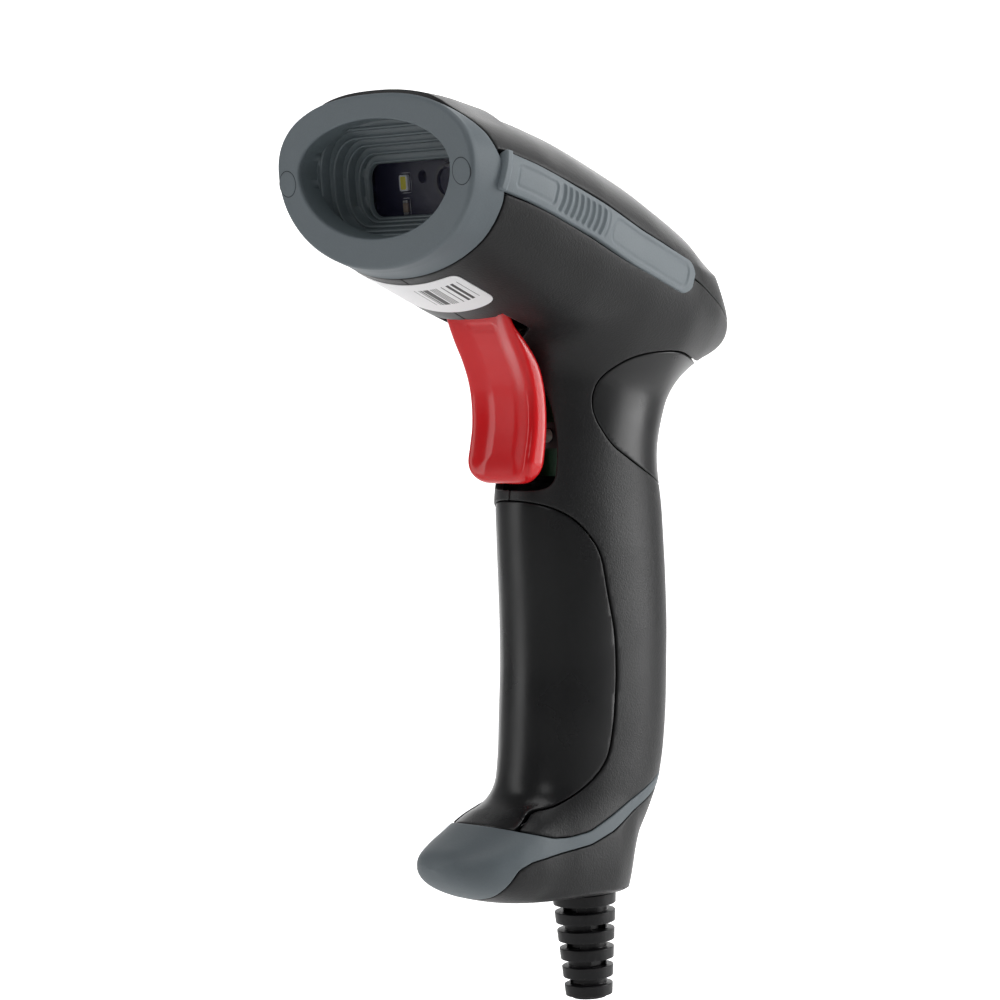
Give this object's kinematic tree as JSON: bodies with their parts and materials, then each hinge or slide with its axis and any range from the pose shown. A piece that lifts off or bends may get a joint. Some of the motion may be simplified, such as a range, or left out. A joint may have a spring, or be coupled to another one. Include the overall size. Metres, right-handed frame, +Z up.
{
  "type": "handheld barcode scanner",
  "caption": "Pistol-grip wired barcode scanner with an oval hooded head, soft grey bumpers, a red trigger, a toe rest and a ribbed cord boot.",
  "frame": {"origin": "middle of the grip, where a hand holds it", "axes": "+Z up along the grip, the scanning window faces -Y, +X across the body"},
  "size_m": [0.0688, 0.111, 0.2092],
  "materials": {
    "housing_black": "fine spark-eroded matte texture",
    "grey_rubber": "fine matte overmould",
    "pad_black": "smooth satin",
    "trigger_red": "high gloss",
    "hood_dark": "matte",
    "window_clear": "polished",
    "chassis_black": "matte",
    "board_navy": "solder-masked laminate",
    "board_green": "solder-masked laminate",
    "led_white": "white package with a yellow phosphor",
    "part_beige": "ceramic with tinned ends",
    "lens_glass": "coated",
    "chip_black": "moulded",
    "header_white": "moulded",
    "pin_tin": "tinned",
    "screw_steel": "zinc plated",
    "spring_steel": "drawn wire",
    "lead_flat": "flat flexible lead",
    "plunger_cream": "moulded",
    "boot_black": "satin",
    "label_paper": "coated paper with plain bars"
  },
  "bodies": {
    "scanner": {"left_housing": "housing_black", "right_housing": "housing_black", "top_cover": "housing_black", "nose_bumper": "grey_rubber", "nose_plugs": "grey_rubber", "nose_screws": "screw_steel", "light_hood": "hood_dark", "scan_window": "window_clear", "optics_bracket": "chassis_black", "illumination_board": "board_navy", "illumination_leds": "led_white", "optics_resistors": "part_beige", "lens_barrel": "chassis_black", "scan_lens": "lens_glass", "sensor_board": "board_green", "line_sensor": "chip_black", "main_board": "board_green", "decoder_chip": "chip_black", "board_chips": "chip_black", "beeper": "chip_black", "cable_header": "header_white", "header_pins": "pin_tin", "switch_socket": "header_white", "board_screws": "screw_steel", "trigger_pin": "screw_steel", "trigger_spring": "spring_steel", "switch_body": "chip_black", "switch_board": "board_green", "switch_lead": "lead_flat", "side_strip_left": "grey_rubber", "side_strip_right": "grey_rubber", "rear_pad": "pad_black", "grip_insert": "pad_black", "housing_screws": "screw_steel", "toe_bumper": "grey_rubber", "base_cap": "housing_black", "cable_boot": "boot_black", "label": "label_paper"},
    "trigger_lever": {"trigger": "trigger_red"},
    "plunger": {"switch_plunger": "plunger_cream"}
  },
  "joints": [
    {"name": "trigger_pull", "type": "hinge", "parent": "scanner", "child": "trigger_lever", "pos_m": [0, -0.0205, 0.0732], "axis": [1, 0, 0], "range_deg": [0, 4], "stiffness_Nm_per_rad": 0.5, "springref_deg": -4.58},
    {"name": "plunger_press", "type": "slide", "parent": "scanner", "child": "plunger", "axis": [0, 1, 0], "range_m": [0, 0.0016]}
  ],
  "couplings": [
    {"joint": "plunger_press", "follows": "trigger_pull", "m_per_rad": 0.0222}
  ]
}
